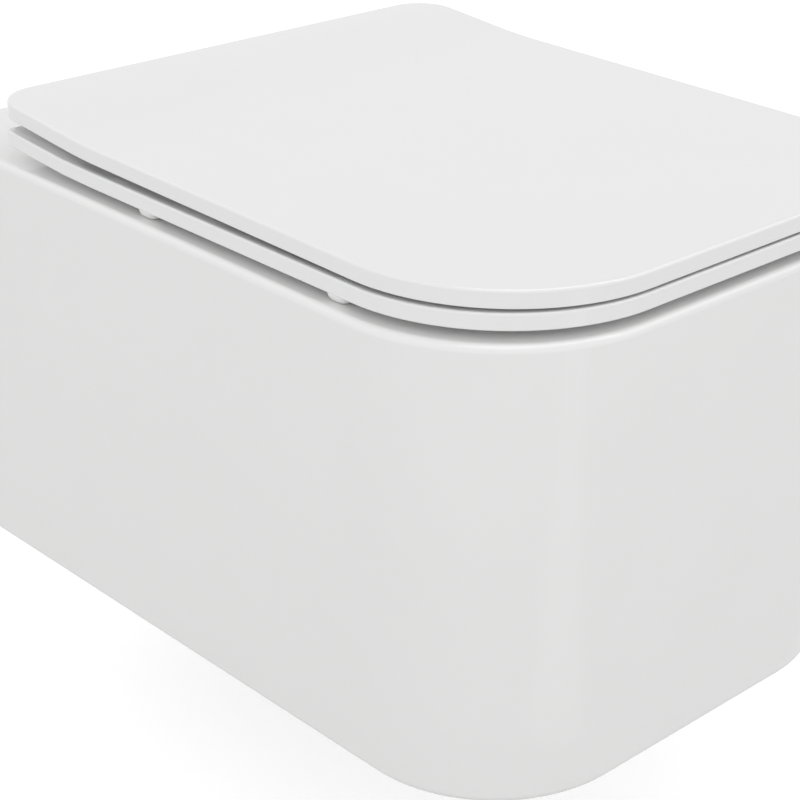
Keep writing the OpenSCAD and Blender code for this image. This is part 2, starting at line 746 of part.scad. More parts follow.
module at_buffer(side, y) {
    at_rim() on_side(side) translate([seat_w / 2 - buffer_w / 2 - buffer_in, -y, 0]) children();
}

// The peg of a ring buffer, or with a gap the hole that it sits in
module buffer_peg(gap) {
    translate([0, 0, ring_rise - sink]) cylinder(r = buffer_peg_r + gap, h = sink + buffer_peg_l + gap);
}

// Rubber foot under the ring, longer than it is wide
module ring_buffer(side, y) {
    reach = (buffer_l - buffer_w) / 2;
    color(NYLON) at_buffer(side, y) {
        translate([0, 0, rest_gap]) linear_extrude(ring_rise - rest_gap) {
            translate([-buffer_w / 2, -reach]) square([buffer_w, 2 * reach]);
            for (end = [-reach, reach]) translate([0, end]) circle(buffer_w / 2);
        }
        buffer_peg(0);
    }
}

// Height of the lid's underside above the rim: an even slope, and a smooth kick up over the hinges
function lid_z(y) = lid_under + lid_rise * (y + seat_front) / (axis_y + seat_front)
    + lid_kick * smooth((y - axis_y + kick_l) / kick_l);

// Ends of the straight stretches that follow the kick
function kick_y(i) = axis_y - kick_l * (1 - i / lid_steps);

// The lid's side view, drawn as y and z
module lid_profile() {
    n = len(lid_ys);
    polygon(concat([for (y = lid_ys) [y, lid_z(y)]],
        [for (i = [n - 1:-1:0]) [lid_ys[i], lid_z(lid_ys[i]) + lid_t]]));
}

module lid() {
    hinge_under = lid_z(axis_y);
    color(SEAT) difference() {
        union() {
            at_rim() intersection() {
                rotate([90, 0, 90]) translate([0, 0, -pan_w / 2]) linear_extrude(pan_w) lid_profile();
                linear_extrude(pan_h)
                    rounded_plan(seat_w, -seat_front, -seat_back, seat_corner_r, seat_rear_r);
            }
            for (side = [LEFT, RIGHT]) at_axis(side) {
                across(knuckle_r, outer_x, outer_x + knuckle_l);
                translate([outer_x, -knuckle_r, 0])
                    cube([knuckle_l, 2 * knuckle_r, hinge_under - axis_h + sink]);
            }
        }
        for (side = [LEFT, RIGHT]) {
            at_axis(side) on_lid_side()
                across(damper_r, inner_x + knuckle_end_t, inner_x + knuckle_l + over);
            at_lid_buffer(side) cylinder(r = buffer_peg_r + fit_gap / 2, h = buffer_peg_l + fit_gap / 2);
        }
    }
}

module at_lid_buffer(side) {
    at_rim() on_side(side)
        translate([seat_w / 2 - ring_band / 2, -lid_buffer_y, lid_z(-lid_buffer_y)]) children();
}

// Thin pad under the lid
module lid_buffer(side) {
    pad_t = lid_z(-lid_buffer_y) - ring_top - rest_gap - pad_seat;
    color(NYLON) at_lid_buffer(side) {
        translate([0, 0, -pad_t - pad_seat]) cylinder(r = lid_buffer_r, h = pad_t);
        translate([0, 0, -pad_t / 2]) cylinder(r = buffer_peg_r, h = pad_t / 2 + buffer_peg_l);
    }
}

ceramic_pan();
flush_diverter();
inlet_seal();
wall_bracket(LEFT);  // wall_bracket_left
wall_bracket(RIGHT);  // wall_bracket_right
bracket_washer(LEFT);  // bracket_washer_left
bracket_washer(RIGHT);  // bracket_washer_right
bracket_nut(LEFT);  // bracket_nut_left
bracket_nut(RIGHT);  // bracket_nut_right
screw_sleeve(LEFT);  // screw_sleeve_left
screw_sleeve(RIGHT);  // screw_sleeve_right
side_screw(LEFT);  // side_screw_left
side_screw(RIGHT);  // side_screw_right
cover_cap(LEFT);  // cover_cap_left
cover_cap(RIGHT);  // cover_cap_right
plate_gasket(LEFT);  // plate_gasket_left
plate_gasket(RIGHT);  // plate_gasket_right
mounting_plate(LEFT);  // mounting_plate_left
mounting_plate(RIGHT);  // mounting_plate_right
fixing_stud(LEFT);  // fixing_stud_left
fixing_stud(RIGHT);  // fixing_stud_right
expander_sleeve(LEFT);  // expander_sleeve_left
expander_sleeve(RIGHT);  // expander_sleeve_right
cone_nut(LEFT);  // cone_nut_left
cone_nut(RIGHT);  // cone_nut_right
hinge_housing(LEFT);  // hinge_housing_left
hinge_housing(RIGHT);  // hinge_housing_right
hinge_pin(LEFT);  // hinge_pin_left
hinge_pin(RIGHT);  // hinge_pin_right
latch_clip(LEFT);  // latch_clip_left
latch_clip(RIGHT);  // latch_clip_right
button_spring(LEFT);  // button_spring_left
button_spring(RIGHT);  // button_spring_right
release_button(LEFT);  // release_button_left
release_button(RIGHT);  // release_button_right
seat_ring();
ring_damper();
ring_bush();
ring_buffer(LEFT, front_buffer_y);  // ring_buffer_front_left
ring_buffer(RIGHT, front_buffer_y);  // ring_buffer_front_right
ring_buffer(LEFT, rear_buffer_y);  // ring_buffer_rear_left
ring_buffer(RIGHT, rear_buffer_y);  // ring_buffer_rear_right
lid();
lid_damper();
lid_bush();
lid_buffer(LEFT);  // lid_buffer_left
lid_buffer(RIGHT);  // lid_buffer_right
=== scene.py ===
import json
import math

import bmesh
import bpy
import numpy as np
from mathutils import Matrix, Vector


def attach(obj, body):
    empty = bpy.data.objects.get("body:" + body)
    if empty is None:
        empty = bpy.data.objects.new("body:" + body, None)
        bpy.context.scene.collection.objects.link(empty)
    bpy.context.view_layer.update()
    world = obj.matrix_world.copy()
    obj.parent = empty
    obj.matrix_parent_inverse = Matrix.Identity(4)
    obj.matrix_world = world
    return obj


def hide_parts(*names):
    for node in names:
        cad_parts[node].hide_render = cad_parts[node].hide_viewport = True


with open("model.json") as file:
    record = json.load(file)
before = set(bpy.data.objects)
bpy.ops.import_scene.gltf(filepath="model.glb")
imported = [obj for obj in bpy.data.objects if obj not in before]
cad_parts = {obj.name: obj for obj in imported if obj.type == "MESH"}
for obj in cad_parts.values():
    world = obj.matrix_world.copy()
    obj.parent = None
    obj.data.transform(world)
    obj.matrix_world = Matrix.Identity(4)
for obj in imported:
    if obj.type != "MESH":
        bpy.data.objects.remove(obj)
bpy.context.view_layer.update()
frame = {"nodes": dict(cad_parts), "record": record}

# Sizes are in millimetres, from the plane of the wall (y) and from the rim (z), as in the part's source.

# Outside of the pan
RIM_H = 80.0                    # height of the rim above the wall bolts, where the frame has its origin
PAN_W, PAN_D, PAN_H = 360.0, 511.0, 274.0
UNDER_DROP = 14.0               # how much lower the underside lies at the wall than at the front
SIDE_DRAFT, FRONT_DRAFT = 16.0, 12.0    # how far the sides and the front lean in towards the underside
PAN_CORNER_R, UNDER_CORNER_R, WALL_CORNER_R = 103.0, 89.0, 1.0
RIM_EDGE_R, UNDER_EDGE_R = 4.5, 6.0
WALL_T, DECK_T = 11.0, 16.0
HOLLOW_END, CUT_END = 6.0, 5.0  # how far the hollow and the bores run on past the plane of the wall

# Bowl, at the rim and at the sump
BOWL_W, SUMP_W = 284.0, 70.0
BOWL_FRONT, SUMP_FRONT = -473.0, -290.0
BOWL_BACK, SUMP_BACK = -150.0, -220.0
BOWL_R, SUMP_R = 100.0, 35.0
BOWL_DEPTH = 224.4
LIP_R = 7.0
LIP_REACH = 4.0                 # how far the cut runs on beyond the lip
GUIDE_W = 5.0                   # width of the shelf that guides the flush
GUIDE_START, GUIDE_GROWS = 20.0, 15.0   # the depth at which it begins, and over which it grows
GUIDE_END, GUIDE_FADES = 45.0, 50.0     # the depth at which it starts to fade, and over which it does
FUNNEL_START = 0.9              # share of the bowl's depth at which the funnel begins
FUNNEL_END = 60                 # degrees of the lower bend at which it ends
BOWL_FLOOR_T, BOWL_FLOOR_R = 15.0, 12.0
SHELL_TOP = 8.0                 # how deep below the rim the bowl's outside begins

# Trap and outlet
PASSAGE_R, BEND_R = 28.0, 45.0
LOWER_BEND = (-205.0, -196.4)   # y and z of the middle of the trap's lower bend
UPPER_BEND = (-115.0, -180.4)
RISER_Z = (-192.0, -186.0)      # heights between the two bends
SPIGOT_R, SPIGOT_BORE_R, OUTLET_Z, SPIGOT_ROOT_Y = 51.0, 41.0, -180.0, -64.0
SPIGOT_END_Y, SPIGOT_EDGE_R = -2.0, 1.5

# Inlet and water channel: profiles hold a radius and a place along y
INLET_Z = -45.0
INLET_BOSS = ((0, -2), (35, -2), (36.5, -3.5), (36.5, -57), (34, -59), (0, -59))
INLET_BORE = ((0, CUT_END), (27.55, CUT_END), (27.1, -50), (0, -50))
CHANNEL_W, CHANNEL_H, CHANNEL_T = 70.0, 22.0, 9.0
CHANNEL_Y, CHANNEL_R = (-172.0, -48.0), 0.8
CHANNEL_SHELL_Y, CHANNEL_SHELL_R = (-162.0, -47.0), 8.0

# Wall fixing and seat holes
SHELF_X, SHELF_Y, SHELF_Z, SHELF_EDGE_R = (64.0, 170.0), (-51.0, -0.3), (-57.7, -46.7), 1.5
SCREW_Y = -24.0
SIDE_HOLE_R, SIDE_HOLE_X, SIDE_HOLE_L = 11.0, 167.0, 34.0
CAP_R, CAP_T, CAP_RECESS, CAP_PLAY, CAP_SEAT_L = 14.0, 3.0, 0.5, 0.3, 10.0
SEAT_HOLE_R, SEAT_HOLE_Z, SEAT_HOLE_L = 7.0, -25.0, 35.0

# Seat ring
SEAT_W, SEAT_FRONT, SEAT_CORNER_R = 348.6, -507.7, 101.5
RING_REAR, RING_REAR_R = -91.3, 4.5
RING_RISE, RISE_START, RISE_LENGTH = 5.0, -170.0, 98.0  # how the ring bends up towards its hinges
RING_Z0, RING_Z1 = 5.2, 14.5
HOLE_W, HOLE_FRONT, HOLE_BACK, HOLE_R_FRONT, HOLE_R_BACK = 224.6, -445.7, -165.0, 111.3, 100.0
EDGE_FALL, INNER_FALL = 1.2, 1.2
EDGE_FALL_SHARE = 0.16          # share of the ring's width over which the fall beside its edge runs

# Hinges
AXIS_Y, AXIS_Z = -85.0, 17.5
HINGE_X, HINGE_HOLE_Y = 77.5, -97.0
HOUSING_W = 24.0
KNUCKLE_GAP, KNUCKLE_L, KNUCKLE_R, KNUCKLE_END_T = 0.6, 26.0, 7.9, 2.0
KNUCKLE_ROUND = ((0, 0.8), (0.25, 0.25), (0.8, 0))      # from a knuckle's end: along x, and inwards
DAMPER_R = 5.6
BORE_MOUTH = 7.5                # from the middle of a housing to the start of the cut for a damper
NEAR_X = HOUSING_W / 2 + KNUCKLE_GAP    # from the middle of a housing to the knuckles beside it
NOTCH_Y, NOTCH_Z, NOTCH_R = (-111.5, -60.0), (0.0, 30.0), 2.0
BAR_Y, BAR_Z, BAR_LOW_R, BAR_TOP_R = (-101.0, -78.5), (10.1, 18.1), 0.8, 1.6
BAR_FRONT_R, BAR_REAR_R = 0.5, 2.0
RING_KNUCKLE_Z, LID_KNUCKLE_Z = 12.5, 27.5      # where the knuckles' straight legs end

# Lid
LID_REAR, LID_REAR_R, LID_T = -77.0, 27.0, 10.0
LID_Z = 16.2                    # its underside at the front
LID_SLOPE, LID_STEP, LID_STEP_L = 5.0, 5.2, 100.0       # its even rise, the step over the hinges, its length

# Buffers
FOOT_X, FOOT_Y, FOOT_W, FOOT_L = 168.0, (-230.5, -391.0), 6.0, 8.0
FOOT_Z, FOOT_DOME, FOOT_EDGE, FOOT_PLAY = (0.2, 6.6), 5.0, 0.3, 0.05
PEG_R, PEG_PLAY, FOOT_PEG_TOP, PAD_PEG_L = 2.5, 0.15, 9.2, 4.0
FOOT_CUT_Z = 2.0                # below the ring, where the cuts for a foot begin
PAD_X, PAD_Y, PAD_R = 143.3, -432.0, 7.0
PAD_ON_RING = 0.43              # share of the ring's width at which a pad meets it
PAD_LOW_GAP, PAD_TOP_GAP = 0.2, 0.1
PAD_HOLE_Z = (14.0, 21.2)

# Release buttons
SPRING_Z, SPRING_PRESSED, BUTTON_TRAVEL = 10.8, 1.45, 1.8
BUTTON_TOP, BUTTON_R, FLANGE_R, FLANGE_T = 22.5, 4.5, 5.4, 2.0

SIDES = (-1, 1)
WORDS = ("left", "right")
RING_POINTS = 144               # points round each outline of the bowl and the trap
QUARTER = np.radians(np.linspace(0, 90, 9))
TOGETHER = 2e-6                 # metres within which two points are one


def smooth(t):
    """Smooth step from 0 to 1: three t squared less two t cubed, level at both ends."""
    t = np.clip(t, 0, 1)
    return t * t * (3 - 2 * t)


def under_z(y):
    """Height of the pan's underside: it falls evenly from the front to the wall."""
    return -PAN_H - UNDER_DROP * (PAN_D + y) / PAN_D


def side_x(z):
    """Half width of the pan at a height: the sides lean in evenly towards the underside."""
    return PAN_W / 2 + SIDE_DRAFT * z / PAN_H


def lid_z(y):
    """Height of the lid's underside: an even slope plus a smooth step up over the hinges."""
    slope = LID_SLOPE * (y - SEAT_FRONT) / (AXIS_Y - SEAT_FRONT)
    return LID_Z + slope + LID_STEP * smooth((y - AXIS_Y + LID_STEP_L) / LID_STEP_L)


def cap_x():
    """Half the way between the undersides of the two caps, which lie a little below the pan's sides."""
    return side_x(-RIM_H) - CAP_T - CAP_RECESS


# Outlines and surfaces

def outline(half_w, front, back, r_front, r_back, corner=24, side=10):
    """Closed outline seen from above: four quarter circles, each point its corner's middle plus the radius
    times cosine and sine of its angle, joined by straight sides."""
    quarter = np.radians(np.linspace(0, 90, corner + 1))
    spots = [(half_w - r_front, front + r_front, r_front, -90), (half_w - r_back, back - r_back, r_back, 0),
             (r_back - half_w, back - r_back, r_back, 90), (r_front - half_w, front + r_front, r_front, 180)]
    arcs = []
    for x, y, r, start in spots:
        angle = quarter + math.radians(start)
        arcs.append(np.stack([x + r * np.cos(angle), y + r * np.sin(angle)], 1))
    between = np.linspace(0, 1, side + 2)[1:-1, None]
    parts = []
    for arc, following in zip(arcs, arcs[1:] + arcs[:1]):
        parts += [arc, arc[-1] * (1 - between) + following[0] * between]
    return np.concatenate(parts)


def even_outline(half_w, front, back, r):
    """The same outline with its points an equal way apart, from the middle of the front edge."""
    middle = [[0, front]]
    loop = np.concatenate([middle, outline(half_w, front, back, r, r, 48, 0), middle])
    way = np.concatenate([[0], np.cumsum(np.linalg.norm(np.diff(loop, axis=0), axis=1))])
    at = np.linspace(0, way[-1], RING_POINTS, endpoint=False)
    return np.stack([np.interp(at, way, loop[:, k]) for k in (0, 1)], 1)


def level(plan, z):
    """An outline lifted to a height, which is a number or one height for each point."""
    return np.column_stack([plan, np.broadcast_to(z, len(plan))])


def surface(name, levels, finish, wrapped=False):
    """A closed surface through a stack of outlines: neighbouring points of neighbouring outlines make a
    four-sided face. The ends get a flat cap, or the last outline joins the first."""
    levels = np.asarray(levels, dtype=float)
    count, points = levels.shape[:2]
    row = np.arange(count if wrapped else count - 1)[:, None]
    col = np.arange(points)[None, :]
    above, beside = (row + 1) % count, (col + 1) % points
    faces = np.stack([row * points + col, row * points + beside, above * points + beside,
                      above * points + col], -1).reshape(-1, 4).tolist()
    if not wrapped:
        faces += [list(range(points))[::-1], list(range((count - 1) * points, count * points))]
    mesh = bpy.data.meshes.new(name)
    mesh.from_pydata((levels.reshape(-1, 3) / 1000 + (0, 0, RIM_H / 1000)).tolist(), [], faces)
    mesh.materials.append(finish)
    whole(mesh)
    piece = bpy.data.objects.new(name, mesh)
    bpy.context.scene.collection.objects.link(piece)
    return piece


def whole(mesh):
    """Joins points that lie together, drops empty faces and turns all faces outwards."""
    work = bmesh.new()
    work.from_mesh(mesh)
    bmesh.ops.remove_doubles(work, verts=work.verts, dist=TOGETHER)
    bmesh.ops.dissolve_degenerate(work, edges=work.edges, dist=TOGETHER / 2)
    bmesh.ops.recalc_face_normals(work, faces=work.faces)
    work.to_mesh(mesh)
    work.free()


def turned(name, profile, axis, at, finish, steps=64):
    """A turned piece: each point of the profile, its radius and its place along the axis, runs once round.
    The axis is x, y or z and starts at the place given."""
    profile = np.asarray(profile, dtype=float)
    angle = np.linspace(0, 2 * np.pi, steps, endpoint=False)
    radius, along = profile[:, :1], profile[:, 1:]
    parts = [radius * np.cos(angle), radius * np.sin(angle), along + 0 * angle]
    order = {"x": (2, 0, 1), "y": (0, 2, 1), "z": (0, 1, 2)}[axis]
    return surface(name, np.stack([parts[k] for k in order], -1) + np.asarray(at, dtype=float), finish)


def rod(name, r, axis, at, length, finish, steps=64):
    """A plain round rod: a turned piece whose profile is a rectangle."""
    return turned(name, [(0, 0), (r, 0), (r, length), (0, length)], axis, at, finish, steps)


def block(name, x, y, z, r, finish, corner=6):
    """A block with round edges along y: the outline of its front view, drawn from y[0] to y[1]."""
    plan = outline((x[1] - x[0]) / 2, z[0], z[1], r, r, corner, 1) + ((x[0] + x[1]) / 2, 0)
    ends = [np.column_stack([plan[:, 0], np.full(len(plan), at), plan[:, 1]]) for at in y]
    return surface(name, ends, finish)


def joined(piece, tool, operation="DIFFERENCE"):
    """Cuts the tool from the piece, or adds it, and leaves the result in the piece's mesh."""
    cut = piece.modifiers.new("cut", "BOOLEAN")
    cut.object, cut.operation, cut.solver, cut.material_mode = tool, operation, "MANIFOLD", "TRANSFER"
    result = bpy.data.meshes.new_from_object(piece.evaluated_get(bpy.context.evaluated_depsgraph_get()))
    piece.modifiers.clear()
    piece.data = result
    bpy.data.objects.remove(tool)
    return piece


def placed(piece, body, replaced=(), crease=38):
    """Shades a finished piece smoothly, except over edges sharper than so many degrees, and hands it to its
    body."""
    whole(piece.data)
    piece.data.shade_smooth()
    piece.data.set_sharp_from_angle(angle=math.radians(crease))
    weighted = piece.modifiers.new("shading", "WEIGHTED_NORMAL")
    weighted.keep_sharp = True
    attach(piece, body)
    if replaced:
        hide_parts(*replaced)
    return piece


# Finishes

class Value:
    """A number that varies in a shader, held by a socket. Arithmetic on it adds Math nodes."""

    def __init__(self, finish, socket):
        self.finish, self.socket = finish, socket

    def math(self, operation, *terms):
        """The result of a Math node for these terms, which are numbers or varying values."""
        return self.finish.value("ShaderNodeMath", {"operation": operation}, dict(enumerate(terms)))

    def __add__(self, other):
        return self.math("ADD", self, other)

    def __mul__(self, other):
        return self.math("MULTIPLY", self, other)

    def __sub__(self, other):
        return self.math("SUBTRACT", self, other)

    def __rsub__(self, other):
        return self.math("SUBTRACT", other, self)

    def __pow__(self, other):
        return self.math("POWER", self, other)

    __radd__, __rmul__ = __add__, __mul__


class Finish:
    """A material, or the world, whose nodes are added one by one."""

    def __init__(self, name, owner=None):
        self.owner = owner or bpy.data.materials.new(name)
        self.owner.use_nodes = True
        self.tree = self.owner.node_tree
        self.tree.nodes.clear()

    def node(self, kind, settings=None, values=None):
        """Adds a node: its settings come first, then a number, a colour or a link for each socket."""
        made = self.tree.nodes.new(kind)
        for key, setting in (settings or {}).items():
            setattr(made, key, setting)
        for key, value in (values or {}).items():
            value = value.socket if isinstance(value, Value) else value
            if isinstance(value, bpy.types.NodeSocket):
                self.tree.links.new(value, made.inputs[key])
            else:
                made.inputs[key].default_value = value
        return made

    def value(self, kind, settings=None, values=None):
        """Adds a node and holds its first output as a varying number."""
        return Value(self, self.node(kind, settings, values).outputs[0])

    def noise(self, scale, detail=2.0, stretch=(1, 1, 1)):
        """Cloudy noise from 0 to 1 on the piece's own coordinates, so many waves to the metre."""
        place = self.node("ShaderNodeTexCoord").outputs["Object"]
        spread = self.node("ShaderNodeMapping", values={"Vector": place, "Scale": stretch}).outputs[0]
        return self.value("ShaderNodeTexNoise", values={"Vector": spread, "Scale": scale, "Detail": detail})

    def tint(self, share, first, second):
        """A colour between two, by a share from 0 to 1."""
        colours = {0: share, 6: (*first, 1), 7: (*second, 1)}
        return self.node("ShaderNodeMix", {"data_type": "RGBA"}, colours).outputs[2]

    def bump(self, height, depth):
        """A surface normal for a height from 0 to 1, so many metres deep."""
        values = {"Height": height, "Distance": depth, "Strength": 1.0}
        return self.node("ShaderNodeBump", values=values).outputs[0]

    def output(self, shader, kind="ShaderNodeOutputMaterial"):
        """Ends the tree with this shader and gives back the material or the world."""
        self.node(kind, values={"Surface": shader})
        return self.owner


def glazed_china():
    """White gloss glaze: a trace of cloud in its colour and a long, shallow ripple in its surface."""
    f = Finish("glazed_china")
    cloud, fine = f.noise(14), f.noise(160)
    shader = f.node("ShaderNodeBsdfPrincipled", values={
        "Base Color": f.tint(cloud, (0.832, 0.832, 0.828), (0.850, 0.850, 0.847)),
        "Roughness": 0.05 + fine * 0.05,
        "IOR": 1.52,
        "Normal": f.bump(f.noise(45, 1.0) * 0.7 + fine * 0.3, 0.00006)})
    return f.output(shader.outputs[0])


def bare_china():
    """Unglazed fired clay inside the pan: matt, a little warm, with fine grain and kiln specks."""
    f = Finish("bare_china")
    cloud, grain = f.noise(9, 4.0), f.noise(900, 3.0)
    specks = f.noise(420, 0.0) ** 9.0 * 18.0
    shader = f.node("ShaderNodeBsdfPrincipled", values={
        "Base Color": f.tint(cloud * 0.8 + specks, (0.80, 0.785, 0.755), (0.70, 0.67, 0.62)),
        "Roughness": 0.78 + grain * 0.15,
        "Normal": f.bump(grain, 0.0002)})
    return f.output(shader.outputs[0])


def moulded(name, colour, shade, rough, ripple=0.00003, index=1.49):
    """Moulded plastic: an even colour with a faint cloud, and the slight ripple of a polished mould."""
    f = Finish(name)
    cloud, fine = f.noise(20), f.noise(260)
    shader = f.node("ShaderNodeBsdfPrincipled", values={
        "Base Color": f.tint(cloud, colour, [c * shade for c in colour]),
        "Roughness": rough + fine * (0.25 * rough),
        "IOR": index,
        "Normal": f.bump(f.noise(60, 1.0) * 0.7 + fine * 0.3, ripple)})
    return f.output(shader.outputs[0])


def metal(name, colour, rough, stretch=(1, 1, 1), scratch=0.00001, mottle=12.0, shade=0.86):
    """Bare metal: brightness clouds, a roughness that follows them, and hair lines along one direction."""
    f = Finish(name)
    cloud, hair = f.noise(mottle, 3.0), f.noise(500, 2.0, stretch)
    shader = f.node("ShaderNodeBsdfPrincipled", values={
        "Base Color": f.tint(cloud, colour, [c * shade for c in colour]),
        "Metallic": 1.0,
        "Roughness": rough * 0.75 + hair * (0.3 * rough) + cloud * (0.2 * rough),
        "Normal": f.bump(hair, scratch)})
    return f.output(shader.outputs[0])


def rubber():
    """Black moulded rubber with a greyish bloom."""
    f = Finish("seal_rubber_black")
    bloom, grain = f.noise(35, 4.0), f.noise(1200, 2.0)
    shader = f.node("ShaderNodeBsdfPrincipled", values={
        "Base Color": f.tint(bloom, (0.028, 0.028, 0.029), (0.06, 0.06, 0.062)),
        "Roughness": 0.55 + grain * 0.25,
        "Normal": f.bump(grain, 0.00008)})
    return f.output(shader.outputs[0])


china, bisque = glazed_china(), bare_china()
FINISHES = {
    "vitreous_china": china,
    "seat_plastic": moulded("seat_moulding_white", (0.825, 0.825, 0.825), 0.99, 0.10, index=1.62),
    "cap_plastic": moulded("cap_moulding_white", (0.85, 0.85, 0.845), 0.985, 0.14),
    "button_plastic": moulded("button_moulding_grey", (0.60, 0.61, 0.62), 0.96, 0.2),
    "buffer_plastic": moulded("buffer_moulding_pale", (0.83, 0.83, 0.825), 0.97, 0.3, 0.00006),
    "nylon": moulded("nylon_natural", (0.78, 0.775, 0.75), 0.95, 0.4, 0.00008),
    "seal_rubber": rubber(),
    "polished_steel": metal("steel_polished", (0.72, 0.73, 0.75), 0.10, scratch=0.000004),
    "damper_steel": metal("steel_drawn_tube", (0.60, 0.61, 0.63), 0.3, (0.06, 1, 1)),
    "zinc_steel": metal("steel_zinc_plated", (0.63, 0.645, 0.67), 0.36, mottle=90.0, scratch=0.00002),
}
slots = {row["node"]: row["material_slot"] for row in frame["record"]["subparts"]}


# The pan

def pan_form(name, wall, top, back, finish):
    """The pan's outside, or the hollow a wall inside it: outlines that follow the round edge of the sloping
    underside, run straight up to the rim, and follow the round edge of the rim."""
    levels = []
    for a in QUARTER:
        less = UNDER_EDGE_R * (1 - math.sin(a))
        plan = outline(PAN_W / 2 - wall - SIDE_DRAFT - less, -PAN_D + wall + FRONT_DRAFT + less, back,
                       UNDER_CORNER_R - wall - less, WALL_CORNER_R)
        levels.append(level(plan, under_z(plan[:, 1]) + wall + UNDER_EDGE_R * (1 - math.cos(a))))
    rim = []
    for a in QUARTER[::-1]:
        less = RIM_EDGE_R * (1 - math.sin(a))
        plan = outline(PAN_W / 2 - wall - less, -PAN_D + wall + less, back,
                       PAN_CORNER_R - wall - less, WALL_CORNER_R)
        rim.append(level(plan, -top - RIM_EDGE_R * (1 - math.cos(a))))
    rulings = [levels[-1] * (1 - s) + rim[0] * s for s in np.linspace(0, 1, 12)[1:-1]]
    return surface(name, levels + rulings + rim, finish)


def bowl_plan(t, grow):
    """The bowl at a share t of its depth: width, front and corner radius close in on the sump by t to the
    power 1.7, and the back by t to the power 1.3. grow widens it all round."""
    close, close_back = t ** 1.7, t ** 1.3
    half_w = (BOWL_W - (BOWL_W - SUMP_W) * close) / 2 + grow
    front = BOWL_FRONT + (SUMP_FRONT - BOWL_FRONT) * close - grow
    back = BOWL_BACK + (SUMP_BACK - BOWL_BACK) * close_back + grow
    corner_r = BOWL_R + (SUMP_R - BOWL_R) * close + grow
    return even_outline(half_w, front, back, min(corner_r, half_w, (back - front) / 2))


def trap_ring(middle, out, radius):
    """A circle of the trap's passage: its middle, plus the radius times cosine along the direction out and
    times sine along x. Middle and direction are given as y and z."""
    angle = np.linspace(0, 2 * np.pi, RING_POINTS, endpoint=False)
    return np.stack([radius * np.sin(angle), middle[0] + radius * np.cos(angle) * out[0],
                     middle[1] + radius * np.cos(angle) * out[1]], 1)


def lower_bend(degrees, radius):
    """A circle of the lower bend, so many degrees after the sump."""
    out = (-math.cos(math.radians(degrees)), -math.sin(math.radians(degrees)))
    return trap_ring((LOWER_BEND[0] + BEND_R * out[0], LOWER_BEND[1] + BEND_R * out[1]), out, radius)


def trap_rings(first, radius, end_radius, end_y):
    """The passage from the lower bend on: round, up, over the weir, down to the spigot and out to end_y."""
    rings = [lower_bend(a, radius) for a in np.linspace(first, 180, 25)]
    rings += [trap_ring((LOWER_BEND[0] + BEND_R, z), (1, 0), radius) for z in RISER_Z]
    for a in np.radians(np.linspace(0, 90, 17)):
        up = (-math.cos(a), math.sin(a))
        rings.append(trap_ring((UPPER_BEND[0] + BEND_R * up[0], UPPER_BEND[1] + BEND_R * up[1]),
                               (-up[0], -up[1]), radius))
    top = UPPER_BEND[1] + BEND_R
    for s in np.linspace(0, 1, 15)[1:]:
        eased = (s + smooth(s)) / 2
        middle = (UPPER_BEND[0] + (SPIGOT_ROOT_Y - UPPER_BEND[0]) * s, top + (OUTLET_Z - top) * eased)
        rings.append(trap_ring(middle, (0, -1), radius + (end_radius - radius) * eased))
    return rings + [trap_ring((end_y, OUTLET_Z), (0, -1), end_radius)]


def waterway():
    """The room for water, from the rim to the spigot, as one smooth surface: a rounded lip, the bowl with
    the shallow shelf that guides the flush, a funnel into the trap, and the trap's passage. Each line of the
    funnel is a cubic that leaves the bowl and enters the trap in their own directions."""
    first = math.radians(10)
    lip_out = LIP_R * (1 - math.sin(first)) + LIP_REACH * math.cos(first)
    lip_up = LIP_REACH * math.sin(first) - LIP_R * (1 - math.cos(first))
    levels = [level(bowl_plan(0, lip_out), lip_up)]
    for a in np.linspace(first, math.pi / 2, 9):
        depth = LIP_R * (1 - math.cos(a))
        levels.append(level(bowl_plan(depth / BOWL_DEPTH, LIP_R * (1 - math.sin(a))), -depth))
    for depth in np.linspace(LIP_R, FUNNEL_START * BOWL_DEPTH, 52)[1:]:
        fade = 1 - smooth((depth - GUIDE_END) / GUIDE_FADES)
        guide = GUIDE_W * smooth((depth - GUIDE_START) / GUIDE_GROWS) * fade
        levels.append(level(bowl_plan(depth / BOWL_DEPTH, -guide), -depth))
    start, before = levels[-1], levels[-2]
    end, after = lower_bend(FUNNEL_END, PASSAGE_R), lower_bend(FUNNEL_END + 2, PASSAGE_R)
    reach = np.linalg.norm(end - start, axis=1, keepdims=True)
    leave = (start - before) / np.linalg.norm(start - before, axis=1, keepdims=True) * reach
    arrive = (after - end) / np.linalg.norm(after - end, axis=1, keepdims=True) * reach
    for s in np.linspace(0, 1, 18)[1:-1]:
        levels.append((2 * s ** 3 - 3 * s ** 2 + 1) * start + (s ** 3 - 2 * s ** 2 + s) * leave
                      + (3 * s ** 2 - 2 * s ** 3) * end + (s ** 3 - s ** 2) * arrive)
    return surface("waterway", levels + trap_rings(FUNNEL_END, PASSAGE_R, SPIGOT_BORE_R, CUT_END), china)


def bowl_shell():
    """Outside of the bowl, a wall thicker than the bowl, with a rounded floor."""
    bottom = -BOWL_DEPTH - BOWL_FLOOR_T
    levels = [level(bowl_plan(t, WALL_T), bottom * t - SHELL_TOP * (1 - t)) for t in np.linspace(0, 1, 30)]
    for a in QUARTER[1:]:
        less = BOWL_FLOOR_R * (1 - math.cos(a))
        levels.append(level(bowl_plan(1.0, WALL_T - less), bottom - BOWL_FLOOR_R * math.sin(a)))
    return surface("bowl_shell", levels, bisque)


